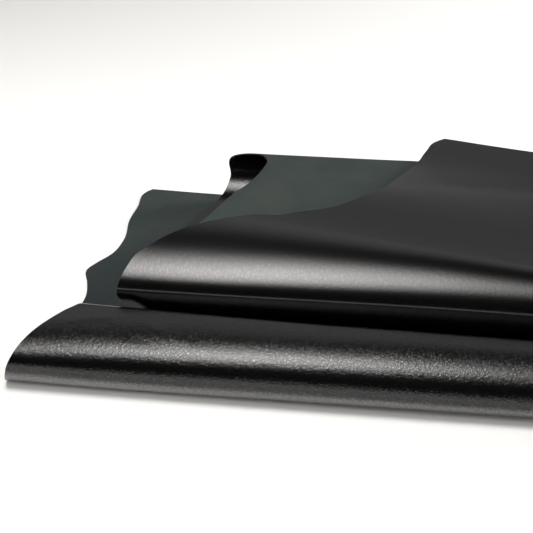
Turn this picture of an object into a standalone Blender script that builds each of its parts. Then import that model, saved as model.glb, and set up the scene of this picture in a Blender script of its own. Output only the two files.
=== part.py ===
"""A tanned calf hide folded back and forth in four layers.

The hide is one skin. Its grain is the smooth outer face, its flesh the soft inner face.
X runs along the folds, Y from the front fold to the back fold, Z up. From the bottom:
the first layer lies flat with its flesh up, the first fold turns it over at the front,
the second layer runs back along it and rises into the back fold, the third layer comes
forward to just behind the first fold, the second fold turns over there, and the fourth
layer falls back over the back fold and ends in the neck.

Along the hide, distances are counted from the foremost line of the first fold.
"""

import bmesh
import bpy
import numpy as np

# Skin
THICKNESS = 0.0012
WIDTH = 0.88
MIDDLE = WIDTH / 2

# Mesh: strips across the hide, and steps along each of the twelve stretches of its section
STRIPS = 20
STEPS = (14, 6, 11, 9, 4, 10, 8, 5, 5, 6, 18, 14)

# A quarter of an ellipse is drawn with handles of this share of its half axes
ROUND = 0.5523
EASE = 0.35

# First fold: the foremost line, how far it curls under, and its top
FIRST_COLUMNS = ("x", "nose_y", "nose_z", "under", "top_y", "top_z")
FIRST_FOLD = (
    (0.00, -0.0068, 0.0191, 0.0251, 0.0514, 0.0383),
    (0.08, -0.0069, 0.0179, 0.0244, 0.0405, 0.0413),
    (0.20, -0.0060, 0.0180, 0.0269, 0.0339, 0.0419),
    (0.42, -0.0034, 0.0181, 0.0330, 0.0307, 0.0414),
    (0.60, -0.0030, 0.0180, 0.0320, 0.0330, 0.0414),
    (0.88, -0.0050, 0.0186, 0.0260, 0.0450, 0.0395),
)

# Back fold: where the second layer lands, where it rises, the rearmost line and the crest
BACK_COLUMNS = ("x", "land_y", "rise_y", "low_z", "wall_y", "wall_z", "crest_y", "crest_z")
BACK_FOLD = (
    (0.00, 0.145, 0.386, 0.0030, 0.421, 0.0285, 0.399, 0.0490),
    (0.10, 0.145, 0.386, 0.0030, 0.421, 0.0285, 0.399, 0.0490),
    (0.30, 0.145, 0.388, 0.0030, 0.424, 0.0285, 0.402, 0.0490),
    (0.60, 0.148, 0.388, 0.0030, 0.424, 0.0285, 0.402, 0.0490),
    (0.88, 0.150, 0.384, 0.0030, 0.419, 0.0275, 0.398, 0.0475),
)

# Second fold: the sag of the third layer, its lowest line behind the first fold, the
# foremost line and the top
SECOND_COLUMNS = ("x", "sag_y", "sag_z", "rest_y", "rest_z", "nose_y", "nose_z", "top_y", "top_z")
SECOND_FOLD = (
    (0.10, 0.21, 0.0445, 0.092, 0.0372, 0.0677, 0.0505, 0.1587, 0.0860),
    (0.20, 0.21, 0.0445, 0.092, 0.0371, 0.0692, 0.0505, 0.1386, 0.0824),
    (0.30, 0.21, 0.0445, 0.092, 0.0370, 0.0708, 0.0505, 0.1183, 0.0776),
    (0.42, 0.21, 0.0445, 0.092, 0.0370, 0.0701, 0.0500, 0.0997, 0.0713),
    (0.60, 0.21, 0.0445, 0.092, 0.0371, 0.0695, 0.0500, 0.1050, 0.0725),
    (0.88, 0.21, 0.0445, 0.092, 0.0372, 0.0680, 0.0502, 0.1400, 0.0810),
)

# The two cut ends: the rump end of the first layer and the neck end of the fourth
END_COLUMNS = ("x", "rump_y", "neck_y", "neck_z")
ENDS = (
    (0.00, 0.424, 0.464, 0.0535),
    (0.06, 0.420, 0.464, 0.0535),
    (0.28, 0.418, 0.4665, 0.0535),
    (0.33, 0.421, 0.4505, 0.0535),
    (0.37, 0.424, 0.438, 0.0535),
    (0.46, 0.426, 0.426, 0.0535),
    (0.58, 0.420, 0.452, 0.0535),
    (0.88, 0.426, 0.452, 0.0535),
)

# Side edges: how far each is drawn in from the full width, at distances along the hide
EDGE_COLUMNS = ("along", "left", "right")
EDGES = (
    (-0.438, 0.004, 0.012),
    (-0.385, 0.005, 0.005),
    (-0.353, 0.006, 0.007),
    (-0.303, 0.0135, 0.016),
    (-0.269, 0.0115, 0.015),
    (-0.248, 0.004, 0.009),
    (-0.232, 0.000, 0.003),
    (-0.208, 0.0075, 0.007),
    (-0.182, 0.0143, 0.012),
    (-0.160, 0.0158, 0.014),
    (-0.110, 0.0115, 0.011),
    (-0.030, -0.001, 0.003),
    (-0.007, 0.003, 0.004),
    (0.008, 0.0077, 0.008),
    (0.028, 0.0175, 0.015),
    (0.042, 0.027, 0.023),
    (0.059, 0.035, 0.030),
    (0.076, 0.0405, 0.034),
    (0.120, 0.039, 0.036),
    (0.165, 0.0375, 0.038),
    (0.200, 0.0425, 0.041),
    (0.330, 0.0612, 0.055),
    (0.376, 0.065, 0.062),
    (0.412, 0.0745, 0.068),
    (0.430, 0.080, 0.072),
    (0.453, 0.0855, 0.078),
    (0.474, 0.087, 0.084),
    (0.492, 0.118, 0.104),
    (0.513, 0.1275, 0.115),
    (0.528, 0.127, 0.116),
    (0.568, 0.121, 0.110),
    (0.604, 0.110, 0.104),
    (0.660, 0.0985, 0.094),
    (0.703, 0.0875, 0.086),
    (0.770, 0.082, 0.078),
    (0.803, 0.077, 0.074),
    (0.818, 0.070, 0.069),
    (0.829, 0.067, 0.066),
    (0.837, 0.0685, 0.068),
    (0.843, 0.0725, 0.072),
    (0.848, 0.0775, 0.078),
    (0.852, 0.086, 0.086),
    (0.858, 0.102, 0.100),
    (0.865, 0.128, 0.120),
    (0.872, 0.155, 0.142),
    (0.897, 0.189, 0.176),
    (0.918, 0.2095, 0.196),
    (0.950, 0.2265, 0.216),
    (0.993, 0.243, 0.234),
    (1.053, 0.255, 0.250),
    (1.113, 0.2665, 0.262),
    (1.156, 0.2715, 0.270),
    (1.190, 0.279, 0.280),
    (1.200, 0.286, 0.290),
)


def smooth(x, knots, values):
    """Values at x on a smooth curve through unevenly spaced knots."""
    knots = np.asarray(knots, float)
    values = np.asarray(values, float)
    slope = np.gradient(values, knots)
    x = np.clip(x, knots[0], knots[-1])
    i = np.clip(np.searchsorted(knots, x, side="right") - 1, 0, len(knots) - 2)
    span = knots[i + 1] - knots[i]
    u = (x - knots[i]) / span
    start = (2 * u**3 - 3 * u**2 + 1) * values[i] + (u**3 - 2 * u**2 + u) * span * slope[i]
    end = (3 * u**2 - 2 * u**3) * values[i + 1] + (u**3 - u**2) * span * slope[i + 1]
    return start + end


def read(columns, rows, at):
    """Each named column of a table, read at the given places of its first column."""
    table = dict(zip(columns, zip(*rows)))
    knots = table[columns[0]]
    return [smooth(at, knots, table[name]) for name in columns[1:]]


def stations(x):
    """Points that the section at x passes through: y, z, heading, reach before, reach after."""
    nose_y, nose_z, under, top_y, top_z = read(FIRST_COLUMNS, FIRST_FOLD, x)
    land_y, rise_y, low_z, wall_y, wall_z, crest_y, crest_z = read(BACK_COLUMNS, BACK_FOLD, x)
    sag_y, sag_z, rest_y, rest_z, lip_y, lip_z, roof_y, roof_z = read(SECOND_COLUMNS, SECOND_FOLD, x)
    rump_y, neck_y, neck_z = read(END_COLUMNS, ENDS, x)
    flat = 0 * x + THICKNESS / 2
    third = (rump_y - nose_y - under) / 3
    return (
        (rump_y, flat, 180, 0, third),
        (nose_y + under, flat, 180, third, 0.67 * under),
        (nose_y, nose_z, 90, 0.62 * (nose_z - flat), 0.62 * (top_z - nose_z)),
        (top_y, top_z, 0, 0.52 * (top_y - nose_y), 0.42 * (land_y - top_y)),
        (land_y, low_z, 0, 0.40 * (land_y - top_y), (rise_y - land_y) / 3),
        (rise_y, low_z, 0, (rise_y - land_y) / 3, 0.62 * (wall_y - rise_y)),
        (wall_y, wall_z, 90, 0.45 * (wall_z - low_z), ROUND * (crest_z - wall_z)),
        (crest_y, crest_z, 180, 0.60 * (wall_y - crest_y), 0.30 * (crest_y - sag_y)),
        (sag_y, sag_z, 180, EASE * (crest_y - sag_y), (sag_y - rest_y) / 3),
        (rest_y, rest_z, 180, (sag_y - rest_y) / 3, ROUND * (rest_y - lip_y)),
        (lip_y, lip_z, 90, ROUND * (lip_z - rest_z), 0.32 * (roof_z - lip_z)),
        (roof_y, roof_z, 0, 0.59 * (roof_y - lip_y), EASE * (neck_y - roof_y)),
        (neck_y, neck_z, 0, EASE * (neck_y - roof_y), 0),
    )


def section(x, steps=STEPS):
    """The folded section at every x: y and z, one row for each step along the hide."""
    x = np.atleast_1d(np.asarray(x, float))
    points = stations(x)
    y_rows = []
    z_rows = []
    for i, count in enumerate(steps):
        y0, z0, heading0, _, out = points[i]
        y3, z3, heading3, back, _ = points[i + 1]
        a, b = np.radians(heading0), np.radians(heading3)
        handles_y = (y0, y0 + out * np.cos(a), y3 - back * np.cos(b), y3)
        handles_z = (z0, z0 + out * np.sin(a), z3 - back * np.sin(b), z3)
        last = i == len(steps) - 1
        for j in range(count + last):
            t = j / count
            weights = ((1 - t) ** 3, 3 * t * (1 - t) ** 2, 3 * t**2 * (1 - t), t**3)
            y_rows.append(sum(w * h for w, h in zip(weights, handles_y)))
            z_rows.append(sum(w * h for w, h in zip(weights, handles_z)))
    return np.array(y_rows), np.array(z_rows)


def distances(steps=STEPS):
    """Distance of each row along the hide, from the foremost line of the first fold."""
    y, z = section(MIDDLE, steps)
    run = np.hypot(np.diff(y[:, 0]), np.diff(z[:, 0]))
    along = np.concatenate(([0.0], np.cumsum(run)))
    return along - along[sum(steps[:2])]


def folded_points():
    """Every point of the folded skin, rows along the hide and columns across it."""
    left, right = read(EDGE_COLUMNS, EDGES, distances())
    across = np.linspace(0, 1, STRIPS + 1)
    x = left[:, None] + (WIDTH - right - left)[:, None] * across
    rows = [section(x_row) for x_row in x]
    y = np.array([row[0][i] for i, row in enumerate(rows)])
    z = np.array([row[1][i] for i, row in enumerate(rows)])
    points = np.stack((x, y, z), axis=-1)

    # The origin is under the middle of the folded hide
    points[..., 0] -= (x.min() + x.max()) / 2
    points[..., 1] -= (y.min() - THICKNESS / 2 + y.max()) / 2
    return points


def leather(name):
    """Black finished grain leather."""
    material = bpy.data.materials.new(name)
    material.use_nodes = True
    shader = material.node_tree.nodes["Principled BSDF"]
    shader.inputs["Base Color"].default_value = (0.012, 0.013, 0.014, 1)
    shader.inputs["Roughness"].default_value = 0.3
    shader.inputs["Metallic"].default_value = 0.0
    material.diffuse_color = (0.03, 0.035, 0.035, 1)
    return material


def folded_hide(name):
    """A flat grid, moved onto the folds and given the skin's thickness."""
    rows = sum(STEPS)
    points = folded_points()
    bm = bmesh.new()
    bmesh.ops.create_grid(bm, x_segments=STRIPS, y_segments=rows, size=0.5)
    for vert in bm.verts:
        column = round((vert.co.x + 0.5) * STRIPS)
        row = round((vert.co.y + 0.5) * rows)
        vert.co = points[row, column]
    # The grid's upper side becomes the flesh, so it is turned to face with the grain out
    bmesh.ops.reverse_faces(bm, faces=bm.faces)
    mesh = bpy.data.meshes.new(name)
    bm.to_mesh(mesh)
    bm.free()
    mesh.shade_smooth()
    hide = bpy.data.objects.new(name, mesh)
    skin = hide.modifiers.new("Skin thickness", "SOLIDIFY")
    skin.thickness = THICKNESS
    skin.offset = 0
    skin.use_even_offset = True
    return hide


def main():
    for old in list(bpy.data.objects):
        bpy.data.objects.remove(old)
    collection = bpy.data.collections.new("Folded hide")
    bpy.context.scene.collection.children.link(collection)
    hide = folded_hide("hide")
    hide.data.materials.append(leather("Black leather"))
    collection.objects.link(hide)


main()
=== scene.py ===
# %% [markdown]
# # A folded calf hide
#
# The real thing is one skin, tanned, dyed black and finished with a glossy, boarded grain
# on its outer face. Its inner face is the flesh: short, soft, grey-green fibres. The hide
# lies on a pale table, folded back and forth in four layers. Each fold is a round roll,
# because thick leather doesn't crease sharply under its own weight.
#
# This lesson lays a fine skin on the folds of the plain solid, then gives it its three
# finishes: the grain, the flesh and the cut edge.

import math

import bpy
import numpy as np
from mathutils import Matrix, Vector


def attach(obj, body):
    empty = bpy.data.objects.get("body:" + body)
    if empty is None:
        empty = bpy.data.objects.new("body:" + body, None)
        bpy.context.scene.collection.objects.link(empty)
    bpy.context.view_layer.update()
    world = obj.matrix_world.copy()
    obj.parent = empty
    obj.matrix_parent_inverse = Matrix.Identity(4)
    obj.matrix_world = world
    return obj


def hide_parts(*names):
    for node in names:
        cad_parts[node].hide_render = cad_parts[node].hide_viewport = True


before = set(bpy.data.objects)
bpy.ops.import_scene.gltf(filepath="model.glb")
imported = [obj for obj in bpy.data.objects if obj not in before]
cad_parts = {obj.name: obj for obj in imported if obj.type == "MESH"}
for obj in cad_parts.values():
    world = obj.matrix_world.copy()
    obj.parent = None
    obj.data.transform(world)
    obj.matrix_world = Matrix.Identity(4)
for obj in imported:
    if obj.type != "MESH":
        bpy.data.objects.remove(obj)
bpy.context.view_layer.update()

# %% [markdown]
# ## The folded section
#
# Cut across its folds, the hide is a flat zigzag of rolls and sags. It could be drawn as
# one long list of points, but a few named sizes for each fold are easier to read and to
# change: where a roll's foremost line is, how high its top stands, where a layer lands.
# The sizes change a little from one end of a fold to the other, so each table has a row
# for each of a few places across the hide, and between rows a smooth curve fills in.
#
# Most sizes of the two front folds were first fitted to a picture by a program, from their
# outlines and highlights, then rounded to a tenth of a millimetre and in part moved.
# The others were set from points of the picture's outlines. All are in metres: x
# from the left side of the hide, y from the front towards the back, z from the table.

# %% The hide's own sizes
THICKNESS = 0.0012
WIDTH = 0.88
MIDDLE = WIDTH / 2
print("hide", WIDTH, "wide,", THICKNESS, "thick")

# %% First fold: it leaves the table, turns at its nose and rises to its top
# `under` is how far behind the nose it leaves the table
FIRST_COLUMNS = ("x", "nose_y", "nose_z", "under", "top_y", "top_z")
FIRST_FOLD = (
    (0.00, -0.0068, 0.0180, 0.0251, 0.0615, 0.0398),
    (0.08, -0.0069, 0.0166, 0.0244, 0.0520, 0.0425),
    (0.20, -0.0060, 0.0166, 0.0269, 0.0444, 0.0433),
    (0.30, -0.0048, 0.0157, 0.0300, 0.0430, 0.0432),
    (0.42, -0.0034, 0.0155, 0.0330, 0.0415, 0.0430),
    (0.60, -0.0030, 0.0160, 0.0320, 0.0430, 0.0430),
    (0.88, -0.0050, 0.0186, 0.0260, 0.0550, 0.0410),
)
print("first fold given at", len(FIRST_FOLD), "places")

# %% Back fold: the second layer lands, rises up a wall and turns over a crest
BACK_COLUMNS = ("x", "land_y", "rise_y", "low_z", "wall_y", "wall_z", "crest_y", "crest_z")
BACK_FOLD = (
    (0.00, 0.145, 0.386, 0.0030, 0.421, 0.0285, 0.399, 0.0490),
    (0.10, 0.145, 0.386, 0.0030, 0.421, 0.0285, 0.399, 0.0490),
    (0.30, 0.145, 0.388, 0.0030, 0.424, 0.0285, 0.402, 0.0490),
    (0.60, 0.148, 0.388, 0.0030, 0.424, 0.0285, 0.402, 0.0490),
    (0.88, 0.150, 0.384, 0.0030, 0.419, 0.0275, 0.398, 0.0475),
)
print("back fold given at", len(BACK_FOLD), "places")

# %% Second fold: the third layer sags and rests, then turns up its lip to a roof
SECOND_COLUMNS = ("x", "sag_y", "sag_z", "rest_y", "rest_z", "lip_y", "lip_z", "roof_y", "roof_z")
SECOND_FOLD = (
    (0.068, 0.21, 0.0445, 0.092, 0.0352, 0.0677, 0.0505, 0.1587, 0.0860),
    (0.079, 0.21, 0.0445, 0.092, 0.0340, 0.0677, 0.0505, 0.1587, 0.0860),
    (0.087, 0.21, 0.0445, 0.092, 0.0270, 0.0677, 0.0505, 0.1587, 0.0860),
    (0.10, 0.21, 0.0445, 0.092, 0.0262, 0.0677, 0.0505, 0.1587, 0.0860),
    (0.20, 0.21, 0.0445, 0.092, 0.0260, 0.0692, 0.0505, 0.1386, 0.0824),
    (0.30, 0.21, 0.0445, 0.092, 0.0255, 0.0708, 0.0505, 0.1183, 0.0776),
    (0.42, 0.21, 0.0445, 0.092, 0.0250, 0.0701, 0.0500, 0.0997, 0.0713),
    (0.60, 0.21, 0.0445, 0.092, 0.0255, 0.0695, 0.0500, 0.1050, 0.0725),
    (0.88, 0.21, 0.0445, 0.092, 0.0265, 0.0680, 0.0502, 0.1400, 0.0810),
)
print("second fold given at", len(SECOND_FOLD), "places")

# %% The two ends: the rump on the table and the neck on top
END_COLUMNS = ("x", "rump_y", "neck_y", "neck_z")
ENDS = (
    (0.00, 0.424, 0.464, 0.0535),
    (0.06, 0.420, 0.464, 0.0535),
    (0.28, 0.418, 0.4665, 0.0535),
    (0.33, 0.421, 0.4505, 0.0535),
    (0.37, 0.424, 0.438, 0.0535),
    (0.46, 0.426, 0.426, 0.0535),
    (0.58, 0.420, 0.452, 0.0535),
    (0.88, 0.426, 0.452, 0.0535),
)
print("ends given at", len(ENDS), "places")

# %% Smooth curves through a table's rows


def smooth(x, knots, values):
    """Values at x on a smooth curve through unevenly spaced knots.

    Between two knots it is a cubic that meets both values and both slopes, and the slope
    at a knot is the weighted mean of the slopes to its neighbours.
    """
    knots = np.asarray(knots, float)
    values = np.asarray(values, float)
    slope = np.gradient(values, knots)
    x = np.clip(x, knots[0], knots[-1])
    i = np.clip(np.searchsorted(knots, x, side="right") - 1, 0, len(knots) - 2)
    span = knots[i + 1] - knots[i]
    u = (x - knots[i]) / span
    start = (2 * u**3 - 3 * u**2 + 1) * values[i] + (u**3 - 2 * u**2 + u) * span * slope[i]
    end = (3 * u**2 - 2 * u**3) * values[i + 1] + (u**3 - u**2) * span * slope[i + 1]
    return start + end


def read(columns, rows, at):
    """Each named column of a table, read at the given places of its first column."""
    table = dict(zip(columns, zip(*rows)))
    knots = table[columns[0]]
    return [smooth(at, knots, table[name]) for name in columns[1:]]


middle_sizes = read(FIRST_COLUMNS, FIRST_FOLD, MIDDLE)
print("first fold in the middle", [round(float(v), 4) for v in middle_sizes])

# %% [markdown]
# ## Stations and handles
#
# A roll of leather isn't a true circle: its own weight flattens it on top and lets it bulge
# at the nose. So the section passes through a station at every landing, nose and top, with
# the heading it has there, and a handle before and after each station says how long it
# keeps that heading. A long handle makes a full, flat stretch, a short one a tight bend.

# %% Reach of the handles, as shares of the stretch they bend
FIRST_FOOT = 0.67
FIRST_NOSE_BELOW = 0.62
FIRST_NOSE_ABOVE = 0.80
FIRST_TOP_FRONT = 0.38
FIRST_TOP_BACK = 0.12
LANDING = 0.40
BACK_RISE = 0.62
BACK_WALL = 0.45
BACK_CREST_BACK = 0.60
BACK_CREST_FRONT = 0.30
SECOND_LIP_ABOVE = 0.32
SECOND_ROOF_FRONT = 0.59

# A straight stretch has handles of a third. This share draws a quarter of an ellipse
ROUND = 0.5523
# This one eases a long sag in and out
EASE = 0.35
print("a quarter circle of 20 mm has handles of", round(20 * ROUND, 1), "mm")

# %% The stations of the section


def stations(x):
    """Points that the section at x passes through: y, z, heading, reach before, reach after.

    The heading is in degrees, 0 towards the back and 90 upwards.
    """
    nose_y, nose_z, under, top_y, top_z = read(FIRST_COLUMNS, FIRST_FOLD, x)
    land_y, rise_y, low_z, wall_y, wall_z, crest_y, crest_z = read(BACK_COLUMNS, BACK_FOLD, x)
    sag_y, sag_z, rest_y, rest_z, lip_y, lip_z, roof_y, roof_z = read(
        SECOND_COLUMNS, SECOND_FOLD, x
    )
    rump_y, neck_y, neck_z = read(END_COLUMNS, ENDS, x)
    flat = 0 * x + THICKNESS / 2
    third = (rump_y - nose_y - under) / 3
    nose_above = FIRST_NOSE_ABOVE * (top_z - nose_z)
    crest_front = BACK_CREST_FRONT * (crest_y - sag_y)
    return (
        (rump_y, flat, 180, 0, third),
        (nose_y + under, flat, 180, third, FIRST_FOOT * under),
        (nose_y, nose_z, 90, FIRST_NOSE_BELOW * (nose_z - flat), nose_above),
        (top_y, top_z, 0, FIRST_TOP_FRONT * (top_y - nose_y), FIRST_TOP_BACK * (land_y - top_y)),
        (land_y, low_z, 0, LANDING * (land_y - top_y), (rise_y - land_y) / 3),
        (rise_y, low_z, 0, (rise_y - land_y) / 3, BACK_RISE * (wall_y - rise_y)),
        (wall_y, wall_z, 90, BACK_WALL * (wall_z - low_z), ROUND * (crest_z - wall_z)),
        (crest_y, crest_z, 180, BACK_CREST_BACK * (wall_y - crest_y), crest_front),
        (sag_y, sag_z, 180, EASE * (crest_y - sag_y), (sag_y - rest_y) / 3),
        (rest_y, rest_z, 180, (sag_y - rest_y) / 3, ROUND * (rest_y - lip_y)),
        (lip_y, lip_z, 90, ROUND * (lip_z - rest_z), SECOND_LIP_ABOVE * (roof_z - lip_z)),
        (roof_y, roof_z, 0, SECOND_ROOF_FRONT * (roof_y - lip_y), EASE * (neck_y - roof_y)),
        (neck_y, neck_z, 0, EASE * (neck_y - roof_y), 0),
    )


print("stations", len(stations(MIDDLE)))

# %% [markdown]
# ## The cut outline
#
# A hide is wider at the shanks, narrower at the belly and the neck, and no two are alike.
# Laid flat its outline could be drawn as a curve, but on the folds it is simpler to say how
# far the cut edge is drawn in from the full width at each distance along the hide. The
# distance is counted from the foremost line of the first fold: less than nought is the
# rump, lying on the table, and the largest is the neck, on top.

# %% Side edges: how far each is drawn in, at distances along the hide
EDGE_COLUMNS = ("along", "left", "right")
EDGES = (
    (-0.438, 0.0085, 0.0150),
    (-0.432, 0.0050, 0.0125),
    (-0.385, 0.0050, 0.0050),
    (-0.353, 0.0060, 0.0070),
    (-0.303, 0.0135, 0.0160),
    (-0.269, 0.0115, 0.0150),
    (-0.248, 0.0040, 0.0090),
    (-0.232, 0.0000, 0.0030),
    (-0.208, 0.0075, 0.0070),
    (-0.182, 0.0143, 0.0120),
    (-0.160, 0.0158, 0.0140),
    (-0.110, 0.0115, 0.0110),
    (-0.030, -0.0010, 0.0030),
    (-0.007, 0.0030, 0.0040),
    (0.008, 0.0077, 0.0080),
    (0.028, 0.0175, 0.0150),
    (0.042, 0.0275, 0.0230),
    (0.050, 0.0335, 0.0270),
    (0.059, 0.0410, 0.0320),
    (0.076, 0.0440, 0.0350),
    (0.120, 0.0390, 0.0360),
    (0.165, 0.0375, 0.0380),
    (0.200, 0.0425, 0.0410),
    (0.330, 0.0612, 0.0550),
    (0.376, 0.0650, 0.0620),
    (0.412, 0.0745, 0.0680),
    (0.430, 0.0800, 0.0720),
    (0.453, 0.0855, 0.0780),
    (0.474, 0.0870, 0.0840),
    (0.492, 0.1180, 0.1040),
    (0.513, 0.1275, 0.1150),
    (0.528, 0.1270, 0.1160),
    (0.568, 0.1210, 0.1100),
    (0.604, 0.1100, 0.1040),
    (0.660, 0.0985, 0.0940),
    (0.703, 0.0875, 0.0860),
    (0.770, 0.0820, 0.0780),
    (0.803, 0.0770, 0.0740),
    (0.818, 0.0700, 0.0690),
    (0.829, 0.0670, 0.0660),
    (0.837, 0.0685, 0.0680),
    (0.843, 0.0725, 0.0720),
    (0.848, 0.0775, 0.0780),
    (0.852, 0.0860, 0.0860),
    (0.858, 0.1020, 0.1000),
    (0.865, 0.1280, 0.1200),
    (0.872, 0.1550, 0.1420),
    (0.897, 0.1890, 0.1760),
    (0.918, 0.2095, 0.1960),
    (0.950, 0.2265, 0.2160),
    (0.993, 0.2430, 0.2340),
    (1.053, 0.2550, 0.2500),
    (1.113, 0.2665, 0.2620),
    (1.156, 0.2715, 0.2700),
    (1.190, 0.2790, 0.2800),
    (1.200, 0.2860, 0.2900),
)
print("edges given at", len(EDGES), "distances")

# %% Shift the distances onto this skin
# Those past the first fold were set on the plain solid. This skin takes a little more
# leather for its fuller folds, so there the same place of the edge comes later
SHIFT_FROM = (0.12, 0.1689, 0.6862, 0.8045, 0.8324)
SHIFT_BY = (0.0, 0.0009, 0.0009, 0.0025, 0.0115)


def shifted(rows):
    """Rows with their distances shifted, to a tenth of a millimetre.

    The shift grows evenly from one of the places to the next, and past the last it stays.
    """
    shifts = [float(np.interp(row[0], SHIFT_FROM, SHIFT_BY)) for row in rows]
    return [(round(row[0] + shift, 4), *row[1:]) for row, shift in zip(rows, shifts)]


print("the neck's corner comes at", shifted(EDGES)[-1][0])

# %% [markdown]
# ## The fine skin
#
# The skin is a grid of points: rows run across the hide, one after another through the
# folds, and columns run along it. Each column follows the section's curves, so the rolls
# get many short steps and the flat layers few. A cloth simulation could fold a sheet too,
# but it would not stop at the folds of this hide, so the grid is placed by its sizes instead.

# %% Points of the section
# Steps between each station and the next, and strips across the hide
FINE_STEPS = (60, 10, 24, 34, 20, 30, 20, 18, 16, 16, 34, 44)
FINE_STRIPS = 150
STEPS_TO_FIRST_NOSE = sum(FINE_STEPS[:2])


def section(x, steps):
    """The folded section, y and z, with each row read at its own places across the hide.

    Each stretch between two stations is a cubic Bezier curve: its two inner handles lie
    along the headings, as far out as the reaches say. A row is one value of the curve's
    parameter t, and x has one row of places for each of them.
    """
    y = np.empty_like(x)
    z = np.empty_like(x)
    row = 0
    for i, count in enumerate(steps):
        last = i == len(steps) - 1
        rows = slice(row, row + count + last)
        points = stations(x[rows])
        y0, z0, heading0, _, out = points[i]
        y3, z3, heading3, back, _ = points[i + 1]
        a, b = math.radians(heading0), math.radians(heading3)
        t = (np.arange(count + last) / count)[:, None]
        weights = ((1 - t) ** 3, 3 * t * (1 - t) ** 2, 3 * t**2 * (1 - t), t**3)
        handles_y = (y0, y0 + out * math.cos(a), y3 - back * math.cos(b), y3)
        handles_z = (z0, z0 + out * math.sin(a), z3 - back * math.sin(b), z3)
        y[rows] = sum(w * h for w, h in zip(weights, handles_y))
        z[rows] = sum(w * h for w, h in zip(weights, handles_z))
        row += count
    return y, z


def distances(steps):
    """Distance of each row along the hide, from the foremost line of the first fold.

    It adds up the straight steps from row to row, in the middle of the hide.
    """
    y, z = section(np.full((sum(steps) + 1, 1), MIDDLE), steps)
    run = np.hypot(np.diff(y[:, 0]), np.diff(z[:, 0]))
    along = np.concatenate(([0.0], np.cumsum(run)))
    return along - along[STEPS_TO_FIRST_NOSE]


along = distances(FINE_STEPS)
print("hide length", round(float(along[-1] - along[0]), 3))

# %% Lay the grid on the folds
# The frame's origin, in the middle under the hide, from the left side and the front
ORIGIN_X = 0.43785
ORIGIN_Y = 0.22882

left, right = read(EDGE_COLUMNS, shifted(EDGES), along)
across = np.linspace(0, 1, FINE_STRIPS + 1)
flat_x = left[:, None] + (WIDTH - right - left)[:, None] * across
folded_y, folded_z = section(flat_x, FINE_STEPS)
skin = np.stack((flat_x - ORIGIN_X, folded_y - ORIGIN_Y, folded_z), axis=-1)
print("grid", skin.shape)

# %% [markdown]
# ## Slack and creases
#
# Leather is never dead even. Long soft swells run through it where it was stretched on the
# frame, and a few shallow creases stay where it was folded before. They show as waves in
# the long highlights. A sculpted or painted relief would do as well, but a few hills and
# troughs with a place and a size are easy to move until they look right. They stand on the
# skin's own normal, and fade out on the layer that lies flat on the table.

# %% Creases, each with its place, half sizes, height and slant in degrees
CREASE_COLUMNS = ("x", "along", "length", "width", "height", "slant")
CREASES = (
    (0.060, 0.045, 0.026, 0.0026, -0.00035, 14),
    (0.090, 0.030, 0.030, 0.0030, 0.00035, -20),
    (0.112, 0.036, 0.026, 0.0026, -0.00040, -26),
    (0.210, 0.050, 0.080, 0.010, 0.00025, 4),
    (0.360, 0.040, 0.090, 0.009, -0.00020, -3),
    (0.560, 0.038, 0.110, 0.010, 0.00025, 5),
    (0.150, 0.915, 0.040, 0.006, -0.00022, 12),
    (0.260, 0.925, 0.100, 0.012, 0.00022, -4),
    (0.480, 0.920, 0.120, 0.012, -0.00022, 4),
    (0.640, 0.935, 0.080, 0.010, 0.00025, -8),
    (0.420, 1.100, 0.160, 0.020, 0.00035, 20),
    (0.330, 1.180, 0.120, 0.016, -0.00030, -30),
    (0.300, 0.600, 0.140, 0.018, -0.00035, 15),
    (0.620, 0.640, 0.140, 0.018, 0.00035, -18),
)


def creases(x, s):
    """Each crease is a long low hill or trough: a bell across it times a bell along it."""
    height = np.zeros_like(x)
    for row in CREASES:
        crease = dict(zip(CREASE_COLUMNS, row))
        a = math.radians(crease["slant"])
        east = x - crease["x"]
        north = s - crease["along"]
        run = (east * math.cos(a) + north * math.sin(a)) / crease["length"]
        off = (north * math.cos(a) - east * math.sin(a)) / crease["width"]
        height += crease["height"] * np.exp(-(run**2) - off**2)
    return height


print("creases", len(CREASES))

# %% Soft swells: height, size of a swell across and along the hide, and seed
SWELLS = (
    (0.00028, (0.11, 0.14), 4),
    (0.00010, (0.045, 0.05), 7),
)
LATTICE = 40
# The hide starts a few cells inside the lattice, so that no cell is less than nought
FIRST_CELL = (3, 9)


def swell(x, s, size, seed):
    """Smooth random heights from -1 to 1: values on a coarse grid, blended with eased steps."""
    rng = np.random.default_rng(seed)
    lattice = rng.uniform(-1, 1, (LATTICE, LATTICE))
    u = x / size[0] + FIRST_CELL[0]
    v = s / size[1] + FIRST_CELL[1]
    i = np.floor(u).astype(int)
    j = np.floor(v).astype(int)
    fu = (u - i) ** 2 * (3 - 2 * (u - i))
    fv = (v - j) ** 2 * (3 - 2 * (v - j))
    low = lattice[i, j] * (1 - fu) + lattice[i + 1, j] * fu
    high = lattice[i, j + 1] * (1 - fu) + lattice[i + 1, j + 1] * fu
    return low * (1 - fv) + high * fv


print("swells", len(SWELLS))

# %% Raise the skin along its normals
FADE_IN = 0.03


def normals_of(points):
    """Unit normals of a grid: the cross product of its steps along and across."""
    down = np.gradient(points, axis=0)
    sideways = np.gradient(points, axis=1)
    cross = np.cross(down, sideways)
    return cross / np.linalg.norm(cross, axis=-1, keepdims=True)


s_grid = np.repeat(along[:, None], FINE_STRIPS + 1, axis=1)
relief = sum(height * swell(flat_x, s_grid, size, seed) for height, size, seed in SWELLS)
relief += creases(flat_x, s_grid)
relief *= np.clip(s_grid / FADE_IN, 0, 1)
skin = skin + normals_of(skin) * relief[..., None]
print("relief mm", round(float(relief.min()) * 1000, 2), round(float(relief.max()) * 1000, 2))

# %% Make the skin's mesh


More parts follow.
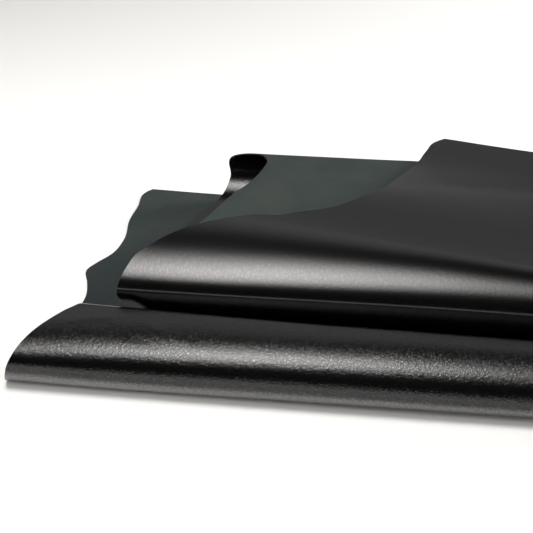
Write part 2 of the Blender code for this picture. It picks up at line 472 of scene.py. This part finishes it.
def grid_mesh(name, points, u, v):
    """A mesh of four-sided faces on a grid of points, with a flat map in metres.

    A face joins a point to its neighbours across, diagonally and along.
    """
    rows, columns, _ = points.shape
    corner = np.arange(rows * columns).reshape(rows, columns)
    faces = np.stack(
        (corner[:-1, :-1], corner[:-1, 1:], corner[1:, 1:], corner[1:, :-1]), axis=-1
    ).reshape(-1, 4)
    mesh = bpy.data.meshes.new(name)
    mesh.from_pydata(points.reshape(-1, 3), [], faces)
    mesh.update()
    flat = mesh.uv_layers.new(name="flat_pattern")
    loops = faces.reshape(-1)
    uv = np.stack((u.reshape(-1)[loops], v.reshape(-1)[loops]), axis=-1)
    flat.data.foreach_set("uv", uv.astype(np.float32).reshape(-1))
    mesh.polygons.foreach_set("use_smooth", np.ones(len(faces), bool))

    # The cut stays a crisp corner: an edge is sharp where both its ends are on the border
    border = np.ones((rows, columns), bool)
    border[1:-1, 1:-1] = False
    ends = np.empty(len(mesh.edges) * 2, np.int32)
    mesh.edges.foreach_get("vertices", ends)
    sharp = border.reshape(-1)[ends.reshape(-1, 2)].all(axis=1)
    mesh.attributes.new("sharp_edge", "BOOLEAN", "EDGE").data.foreach_set("value", sharp)
    mesh.update()
    return mesh


mesh = grid_mesh("hide_skin", skin, flat_x, s_grid - along[0])
hide = bpy.data.objects.new("hide_skin", mesh)
bpy.context.scene.collection.objects.link(hide)
print("faces", len(mesh.polygons))

# %% [markdown]
# ## Building a finish
#
# A finish is a node tree: textures on the flat pattern, bent into numbers that drive one
# shader. The tree could be built by hand in the editor, but a few helpers that make and
# link a node in one line keep it short enough to read. The textures lie on the flat pattern
# in metres, so that the grain follows the leather through every fold.

# %% Helpers that make and link nodes


def new_material(name):
    """An empty node material, its tree and its shader."""
    material = bpy.data.materials.new(name)
    material.use_nodes = True
    tree = material.node_tree
    return material, tree, tree.nodes["Principled BSDF"]


def feed(tree, socket, value):
    """Link another node's output to a socket, or set the socket to a plain value."""
    if isinstance(value, bpy.types.NodeSocket):
        tree.links.new(value, socket)
    else:
        socket.default_value = value


def add(tree, kind, **settings):
    """A node of the given kind, with its properties and inputs set or linked by name."""
    node = tree.nodes.new(kind)
    for key, value in settings.items():
        if key in node.inputs:
            feed(tree, node.inputs[key], value)
        else:
            setattr(node, key, value)
    return node


def work_out(tree, operation, *values):
    """A Math node on sockets or plain numbers."""
    node = add(tree, "ShaderNodeMath", operation=operation)
    for socket, value in zip(node.inputs, values):
        feed(tree, socket, value)
    return node.outputs[0]


def rise(tree, value, start, end, low=0.0, high=1.0):
    """A straight change from low, where the value is start, to high, where it is end."""
    limits = {"From Min": start, "From Max": end, "To Min": low, "To Max": high}
    return add(tree, "ShaderNodeMapRange", Value=value, **limits).outputs["Result"]


def mix_colours(tree, share, first, second):
    """The first colour where the share is 0, the second where it is 1.

    The Mix node has a set of sockets for each kind of value; these are the ones for colour.
    """
    node = add(tree, "ShaderNodeMix", data_type="RGBA")
    for number, value in ((0, share), (6, first), (7, second)):
        feed(tree, node.inputs[number], value)
    return node.outputs[2]


print("helpers ready")

# %% Coordinates on the flat hide


def flat_map(tree, cells, turn=0.0):
    """The flat pattern's coordinates, turned by some degrees, then scaled to cells per metre."""
    uv = add(tree, "ShaderNodeUVMap", uv_map="flat_pattern")
    mapping = add(
        tree,
        "ShaderNodeMapping",
        vector_type="TEXTURE",
        Vector=uv.outputs["UV"],
        Rotation=(0, 0, math.radians(turn)),
        Scale=[1 / count for count in cells],
    )
    return mapping.outputs["Vector"]


def from_rump(tree):
    """Distance along the hide from the rump, in metres."""
    uv = add(tree, "ShaderNodeUVMap", uv_map="flat_pattern")
    return add(tree, "ShaderNodeSeparateXYZ", Vector=uv.outputs["UV"]).outputs["Y"]


first_nose = round(float(-along[0]), 3)
print("the first fold's nose is", first_nose, "from the rump")

# %% [markdown]
# ## The grain
#
# The grain side is dyed through and finished with a clear gloss, so nearly all that is seen
# is reflection: a black base, and a low roughness that spreads a lamp into a soft band. The
# boarding leaves fine slanting creases, three or four millimetres long and about one and a
# half apart, which shine less than the cells between them. They could be modelled, but at
# this size a bump is enough: the borders of two turned sets of long cells, and a finer
# pebble. The grain is deeper on the first fold than towards the neck.

# %% Patterns of the grain
grain, tree, shader = new_material("black_boarded_grain")
shader.inputs["Base Color"].default_value = (0.0012, 0.0013, 0.0014, 1)
shader.inputs["Roughness"].default_value = 0.21
shader.inputs["IOR"].default_value = 1.5

# Cells per metre along and across a crease, and the crease's slant in degrees
BOARDING = (((240, 620, 1), 42), ((380, 620, 1), -40))
borders = [
    add(
        tree,
        "ShaderNodeTexVoronoi",
        feature="DISTANCE_TO_EDGE",
        Scale=1.0,
        Randomness=0.9,
        Vector=flat_map(tree, cells, slant),
    ).outputs["Distance"]
    for cells, slant in BOARDING
]
boarding = work_out(tree, "MINIMUM", *borders)
PEBBLES = (420, 420, 1)
pebble = add(
    tree,
    "ShaderNodeTexNoise",
    Scale=1.0,
    Detail=2.0,
    Roughness=0.6,
    Vector=flat_map(tree, PEBBLES),
)
print("sets of creases", len(borders))

# %% Gloss and relief of the grain
# Depth of the grain: full up to here from the rump, least from there on
FULL_UNTIL = 0.60
LEAST_FROM = 1.25
LEAST_DEPTH = 0.30
depth = rise(tree, from_rump(tree), FULL_UNTIL, LEAST_FROM, 1.0, LEAST_DEPTH)

# Shine at a crease and on a cell, against the mean
MEAN_SHINE = 0.64
CREASE_SHINE = -0.20
CELL_SHINE = 0.23
CREASE_WIDTH = 0.16
sheen = rise(tree, boarding, 0.0, CREASE_WIDTH, CREASE_SHINE, CELL_SHINE)
gloss = work_out(tree, "ADD", work_out(tree, "MULTIPLY", sheen, depth), MEAN_SHINE)
tree.links.new(gloss, shader.inputs["Specular IOR Level"])

PEBBLE_HEIGHT = 0.00018
CREASE_DEPTH = 0.00024
soft_bump = add(
    tree, "ShaderNodeBump", Distance=PEBBLE_HEIGHT, Height=pebble.outputs["Fac"], Strength=depth
)
fine_bump = add(
    tree,
    "ShaderNodeBump",
    Distance=CREASE_DEPTH,
    Height=boarding,
    Strength=depth,
    Normal=soft_bump.outputs["Normal"],
)
tree.links.new(fine_bump.outputs["Normal"], shader.inputs["Normal"])
print(grain.name, "nodes", len(tree.nodes))

# %% [markdown]
# ## The flesh
#
# The flesh side is brushed fibre: no gloss, a grey-green colour in soft clouds and a faint
# nap. Hair could be grown on it, but fibres a fraction of a millimetre long only show as a
# fine roughness, so noise does it. The colour is darker near the first fold: painted shade
# of the layers above, darkest on the table layer just behind the fold.

# %% Grey-green flesh, with painted shade near the first fold
CLOUDS = (30, 21, 1)
NAP = (900, 420, 1)
CLOUD_FROM, CLOUD_TO = 0.36, 0.64
BLUE_TONE = (0.0275, 0.0378, 0.0380, 1)
GREEN_TONE = (0.0385, 0.0455, 0.0415, 1)
# Tone of the painted shade beside the first fold
PAINTED_SHADE_TONE = (0.0165, 0.0235, 0.0240, 1)
NAP_HEIGHT = 0.00015

flesh, tree, shader = new_material("grey_green_flesh")
shader.inputs["Roughness"].default_value = 0.95
shader.inputs["Specular IOR Level"].default_value = 0.25
mottle = add(
    tree,
    "ShaderNodeTexNoise",
    Scale=1.0,
    Detail=6.0,
    Roughness=0.62,
    Vector=flat_map(tree, CLOUDS, 20),
)
cloud = rise(tree, mottle.outputs["Fac"], CLOUD_FROM, CLOUD_TO)
tone = mix_colours(tree, cloud, BLUE_TONE, GREEN_TONE)

# Painted shade of the folds: pale up to PALE_UNTIL from the rump, darkest between the next two, and
# pale again from PALE_FROM
PALE_UNTIL, DARK_FROM, DARK_UNTIL, PALE_FROM = 0.13, 0.29, 0.40, 0.70
reach = from_rump(tree)
before = rise(tree, reach, DARK_FROM, PALE_UNTIL)
after = rise(tree, reach, DARK_UNTIL, PALE_FROM)
pale = work_out(tree, "MAXIMUM", before, after)
tree.links.new(mix_colours(tree, pale, PAINTED_SHADE_TONE, tone), shader.inputs["Base Color"])

nap = add(
    tree, "ShaderNodeTexNoise", Scale=1.0, Detail=4.0, Roughness=0.7, Vector=flat_map(tree, NAP, 25)
)
nap_bump = add(
    tree, "ShaderNodeBump", Strength=0.8, Distance=NAP_HEIGHT, Height=nap.outputs["Fac"]
)
tree.links.new(nap_bump.outputs["Normal"], shader.inputs["Normal"])
print(flesh.name, "nodes", len(tree.nodes))

# %% [markdown]
# ## The cut edge and the thickness
#
# A knife leaves a plain dark edge, a little over a millimetre high. The skin above is only
# a surface, so a Solidify modifier gives it the leather's thickness, half to each side. It
# can also hand out the finishes: the grain outside, the flesh inside, the edge on the rim.

# %% Dark cut edge
edge, tree, shader = new_material("dark_cut_edge")
shader.inputs["Base Color"].default_value = (0.008, 0.012, 0.016, 1)
shader.inputs["Roughness"].default_value = 0.7
print(edge.name, "ready")

# %% Give the skin its thickness and its three finishes
for finish in (grain, flesh, edge):
    hide.data.materials.append(finish)
thickness = hide.modifiers.new("Skin thickness", "SOLIDIFY")
thickness.thickness = THICKNESS
thickness.offset = 0
thickness.use_even_offset = True
thickness.material_offset = 1
thickness.material_offset_rim = 2

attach(hide, "root")
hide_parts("hide")
print("finishes", [finish.name for finish in hide.data.materials])

# %% [markdown]
# ## The table
#
# The hide lies on a wide, matt, nearly white table. It could be a photographer's paper
# sweep, but a plane that is large enough looks the same from here.

# %% Pale table
TABLE_SIZE = 24
bpy.ops.mesh.primitive_plane_add(size=TABLE_SIZE, location=(0, 0, 0))
table = bpy.context.object
table.name = "table_top"
table_paint, tree, shader = new_material("pale_table")
shader.inputs["Base Color"].default_value = (0.86, 0.86, 0.855, 1)
shader.inputs["Roughness"].default_value = 0.9
shader.inputs["Specular IOR Level"].default_value = 0.0
table.data.materials.append(table_paint)
print("table", TABLE_SIZE, "metres square")

# %% [markdown]
# ## Lamps
#
# A glossy black thing is drawn by what it mirrors. A soft box hangs overhead and gives each
# roll its long highlight. Its face fades to its edges, because a lamp with a hard border
# would leave a hard line on the gloss. A narrow pale card along the first fold's foot stands
# for the bright table that the fold mirrors there, and it lights nothing else. Four more
# lamps even out the table and the flesh, and are hidden from the gloss, so that they leave
# no highlights of their own.

# %% A lamp with a soft edge
LAMP_TINT = (1, 0.98, 0.96, 1)


def hang(name, data, place, aim=None):
    """Hang a lamp that faces straight down, or towards a point."""
    lamp = bpy.data.objects.new(name, data)
    lamp.location = place
    if aim is not None:
        way = Vector(aim) - Vector(place)
        lamp.rotation_euler = way.to_track_quat("-Z", "Y").to_euler()
    lamp.visible_camera = False
    bpy.context.scene.collection.objects.link(lamp)
    return lamp


def soft_lamp(name, size, brightness, spread=(2, 2)):
    """A flat lamp, bright in the middle and fading to its edges.

    Its brightness is the square of a cosine that falls to nought at an ellipse, or, where
    the first spread is 0, at the two long sides.
    """
    data = bpy.data.lights.new(name, "AREA")
    data.shape = "RECTANGLE"
    data.size, data.size_y = size
    data.energy = brightness * math.pi * size[0] * size[1]
    data.use_nodes = True
    tree = data.node_tree
    centred = add(
        tree,
        "ShaderNodeMapping",
        Vector=add(tree, "ShaderNodeNewGeometry").outputs["Parametric"],
        Location=(-spread[0] / 2, -spread[1] / 2, 0),
        Scale=(*spread, 0),
    )
    radius = add(tree, "ShaderNodeVectorMath", operation="LENGTH", Vector=centred.outputs["Vector"])
    inside = work_out(tree, "MINIMUM", radius.outputs["Value"], 1.0)
    wave = work_out(tree, "COSINE", work_out(tree, "MULTIPLY", inside, math.pi / 2))
    emission = tree.nodes["Emission"]
    feed(tree, emission.inputs["Strength"], work_out(tree, "POWER", wave, 2.0))
    feed(tree, emission.inputs["Color"], LAMP_TINT)
    return data


print("soft lamps fade from the middle to the edge")

# %% Overhead soft box
SOFT_BOX_SIZE = (1.30, 1.50)
SOFT_BOX_BRIGHTNESS = 12
SOFT_BOX_PLACE = (-0.488, -0.309, 1.4)
soft_box = soft_lamp("overhead_soft_box", SOFT_BOX_SIZE, SOFT_BOX_BRIGHTNESS)
hang("overhead_soft_box", soft_box, SOFT_BOX_PLACE)
print("soft box", SOFT_BOX_SIZE, "at", SOFT_BOX_PLACE)

# %% Pale card along the first fold, facing up
CARD_SIZE = (0.90, 0.026)
CARD_BRIGHTNESS = 1.6
CARD_PLACE = (0.0, -0.2378, 0.0008)
CARD_AIM = (0.0, -0.2378, 1.0)
card = soft_lamp("pale_card", CARD_SIZE, CARD_BRIGHTNESS, spread=(0, 2))
pale_card = hang("pale_card", card, CARD_PLACE, aim=CARD_AIM)
pale_card.visible_diffuse = False
print("card", CARD_SIZE, "at", CARD_PLACE)

# %% Even light of the room: name, size, place, aim and power in watts
ROOM_TINT = (1, 0.98, 0.955)
ROOM_LAMPS = (
    ("front_lamp", 1.5, (0.0, -2.0, 1.3), (0.0, 0.0, 0.0), 21),
    ("left_front_lamp", 1.5, (-1.6, -1.5, 1.0), (-0.2, 0.0, 0.0), 10),
    ("right_back_lamp", 1.0, (2.2, 1.8, 0.9), (0.1, 1.0, 0.0), 145),
    ("right_lamp", 2.0, (2.5, -0.3, 2.0), (0.0, 0.0, 0.0), 29),
)
for name, size, place, aim, power in ROOM_LAMPS:
    data = bpy.data.lights.new(name, "AREA")
    data.shape = "SQUARE"
    data.size = size
    data.energy = power
    data.color = ROOM_TINT
    hang(name, data, place, aim).visible_glossy = False
print("room lamps", len(ROOM_LAMPS))

# %% [markdown]
# ## The room
#
# What the gloss mirrors past the lamps is the room: dim in front and overhead, lighter
# behind the hide. A picture of a studio could be wrapped round the scene, but a ramp from
# the front over the top to the back is enough for a roll, which only mirrors in that
# direction. The camera itself sees plain white behind the table.

# %% Dim room
# Places go from 0, the horizon in front, over 0.5, straight up, to 1, the horizon behind
ROOM = (
    (0.0, 0.03),
    (0.08, 0.02),
    (0.60, 0.015),
    (0.70, 0.04),
    (0.77, 0.40),
    (0.83, 0.42),
    (0.88, 0.22),
    (0.93, 0.12),
    (0.97, 0.12),
    (1.0, 0.40),
)
WHITE = (1, 1, 1, 1)

world = bpy.data.worlds.new("room")
bpy.context.scene.world = world
world.use_nodes = True
tree = world.node_tree
ways = add(tree, "ShaderNodeTexCoord").outputs["Generated"]
parts = add(tree, "ShaderNodeSeparateXYZ", Vector=ways)
forward = work_out(tree, "MULTIPLY", parts.outputs["Y"], -1.0)
turn = work_out(tree, "ARCTAN2", parts.outputs["Z"], forward)
ramp = add(tree, "ShaderNodeValToRGB", Fac=work_out(tree, "DIVIDE", turn, math.pi))
stops = ramp.color_ramp.elements
while len(stops) < len(ROOM):
    stops.new(0.5)
for stop, (place, level) in zip(stops, ROOM):
    stop.position = place
    stop.color = (level, level, level, 1)
is_camera = add(tree, "ShaderNodeLightPath").outputs["Is Camera Ray"]
ground = tree.nodes["Background"]
feed(tree, ground.inputs["Color"], mix_colours(tree, is_camera, ramp.outputs["Color"], WHITE))
feed(tree, ground.inputs["Strength"], 1.0)
print("room stops", len(stops))

# %% [markdown]
# ## The camera
#
# It stands low in front, turned a little to the left, with a long lens from about a metre
# away: that keeps the folds nearly parallel, as in a picture taken for a catalogue.

# %% Camera
LENS_MM = 99.96
SENSOR_MM = 36
CAMERA_PLACE = (-0.09615, -1.13163, 0.48406)
LOOKS_DOWN = 22.5
LOOKS_LEFT = 9.5

lens = bpy.data.cameras.new("camera")
lens.lens = LENS_MM
lens.sensor_width = SENSOR_MM
camera = bpy.data.objects.new("camera", lens)
camera.location = CAMERA_PLACE
camera.rotation_euler = (math.radians(90 - LOOKS_DOWN), 0, math.radians(LOOKS_LEFT))
bpy.context.scene.collection.objects.link(camera)
bpy.context.scene.camera = camera
bpy.context.scene.view_settings.view_transform = "Standard"
print("camera at", CAMERA_PLACE)
